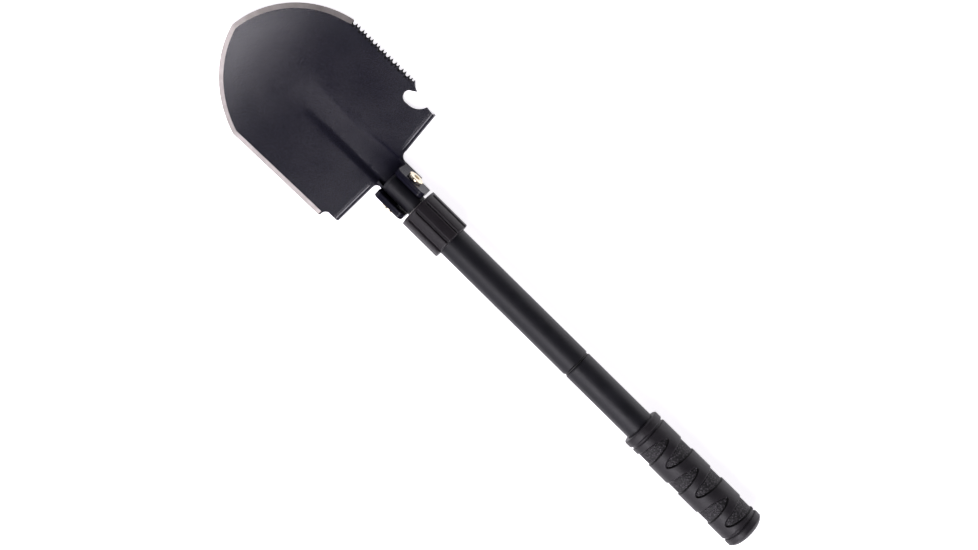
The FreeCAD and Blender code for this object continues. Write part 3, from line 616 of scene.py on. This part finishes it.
def leaf_recesses(angles, ys, top_y):
    """How far each place is inside its nearest recess, and whether it is on a recess's lower edge, where
    shade is painted.
    """
    inside = np.full((GRIP_STEPS, GRIP_ROWS), -1.0)
    painted_shade_edge = np.zeros((GRIP_STEPS, GRIP_ROWS), dtype=bool)
    for i in range(LEAF_PAIRS):
        left_y = top_y - LEAF_FIRST - i * LEAF_PITCH
        for side, y in ((-1, left_y), (1, left_y - LEAF_OFFSET)):
            leaf = inside_leaf(angles, ys, GRIP_FRONT + side * math.pi / 2, y)
            inside = np.maximum(inside, leaf)
            painted_shade_edge |= (np.abs(leaf) < PAINTED_SHADE_REACH) & (ys < y)[None, :]
    return inside, painted_shade_edge


def make_grip():
    """Rubber sleeve with pairs of leaf-shaped recesses, whose floors are covered in pebbles and whose lower
    edges get painted shade.
    """
    low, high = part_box("grip")
    profile, body = grip_profile(low, high)
    angles = turns_about_axis(GRIP_STEPS)
    inside, painted_shade_edge = leaf_recesses(angles, profile[body, 1], high.y)
    around = np.cos(np.arange(GRIP_STEPS) * FULL_TURN / PEBBLE_CELLS)
    along = np.cos(np.arange(GRIP_ROWS) * FULL_TURN / PEBBLE_CELLS)
    pebbles = 0.5 + 0.5 * around[:, None] * along[None, :]
    floor = smoothstep(inside, -LEAF_WALL, LEAF_WALL)
    cover = smoothstep(inside, PEBBLE_START, PEBBLE_FULL)
    radii = np.tile(profile[:, 0], (GRIP_STEPS, 1))
    radii[:, body] -= LEAF_DEPTH * floor - PEBBLE_HEIGHT * pebbles * cover
    finishes = np.zeros(radii.shape, dtype=int)
    # Faces on the recesses' lower edges get near-black rubber as painted shade.
    finishes[:, body] = np.where(painted_shade_edge, 2, inside > 0)
    mesh = ring_mesh("grip_sleeve", radii, profile[:, 1], angles)
    smooth_by_angle(mesh, GRIP_SMOOTH_DEG)
    add_piece("grip_sleeve", mesh, "rear_handle", "grip",
              finishes.reshape(-1).tolist(), [GRIP_RUBBER, PEBBLED_RUBBER, PAINTED_SHADE_RUBBER])


# ================================================================ camera, light and floor
def add_camera():
    """Look down on the shovel from a little to the saw side, with the handle sloping across the view."""
    roll = math.radians(ROLL_DEG)
    slope = math.radians(HANDLE_SLOPE_DEG)
    aside = Vector((math.cos(roll), 0, -math.sin(roll)))
    along = Vector((0, 1, 0))
    back = Vector((math.sin(roll), 0, math.cos(roll)))
    right = -math.cos(slope) * along + math.sin(slope) * aside
    up = math.sin(slope) * along + math.cos(slope) * aside
    target = Vector((0, AIM_ALONG, AXIS_Z)) + aside * AIM_ASIDE
    data = bpy.data.cameras.new("camera")
    data.sensor_width = SENSOR_WIDTH
    data.lens = SENSOR_WIDTH * CAMERA_DISTANCE / VIEW_WIDTH
    data.clip_start = 0.01
    data.clip_end = 20
    camera = bpy.data.objects.new("camera", data)
    turn = Matrix((right, up, back)).transposed().to_4x4()
    camera.matrix_world = Matrix.Translation(target + back * CAMERA_DISTANCE) @ turn
    bpy.context.scene.collection.objects.link(camera)
    bpy.context.scene.camera = camera


def add_studio():
    """Dim surroundings with one bright soft light high up and three weaker ones lower down."""
    world = bpy.data.worlds.new("studio")
    world.use_nodes = True
    tree = world.node_tree
    background = tree.nodes["Background"]
    background.inputs["Color"].default_value = LIGHT_TINT
    place = tree.nodes.new("ShaderNodeTexCoord")
    base = tree.nodes.new("ShaderNodeValue")
    base.outputs[0].default_value = BASE_LIGHT
    total = base.outputs[0]
    for towards, start, full, strength in SOFTBOXES:
        facing = tree.nodes.new("ShaderNodeVectorMath")
        facing.operation = "DOT_PRODUCT"
        facing.inputs[1].default_value = Vector(towards).normalized()
        lobe = tree.nodes.new("ShaderNodeMapRange")
        lobe.interpolation_type = "SMOOTHERSTEP"
        lobe.inputs["From Min"].default_value = start
        lobe.inputs["From Max"].default_value = full
        lobe.inputs["To Max"].default_value = strength
        added = tree.nodes.new("ShaderNodeMath")
        tree.links.new(place.outputs["Generated"], facing.inputs[0])
        tree.links.new(facing.outputs["Value"], lobe.inputs["Value"])
        tree.links.new(lobe.outputs["Result"], added.inputs[0])
        tree.links.new(total, added.inputs[1])
        total = added.outputs[0]
    tree.links.new(total, background.inputs["Strength"])
    bpy.context.scene.world = world
    bpy.context.scene.view_settings.view_transform = "Standard"


def add_floor():
    side = FLOOR_HALF_SIDE
    mesh = bpy.data.meshes.new("floor")
    mesh.from_pydata([(-side, -side, 0), (side, -side, 0), (side, side, 0), (-side, side, 0)],
                     [], [(0, 1, 2, 3)])
    floor = bpy.data.objects.new("floor", mesh)
    floor.location.z = -FLOOR_GAP
    bpy.context.scene.collection.objects.link(floor)
    finish = Finish("floor", Roughness=0.9, Base_Color=(0.9, 0.9, 0.9, 1), Specular_IOR_Level=0.0,
                    Emission_Color=(0.985, 0.965, 1, 1), Emission_Strength=FLOOR_GLOW)
    floor.data.materials.append(finish.material)


finish_cad_nodes()
make_blade()
make_collar()
make_grip()
add_camera()
add_studio()
add_floor()
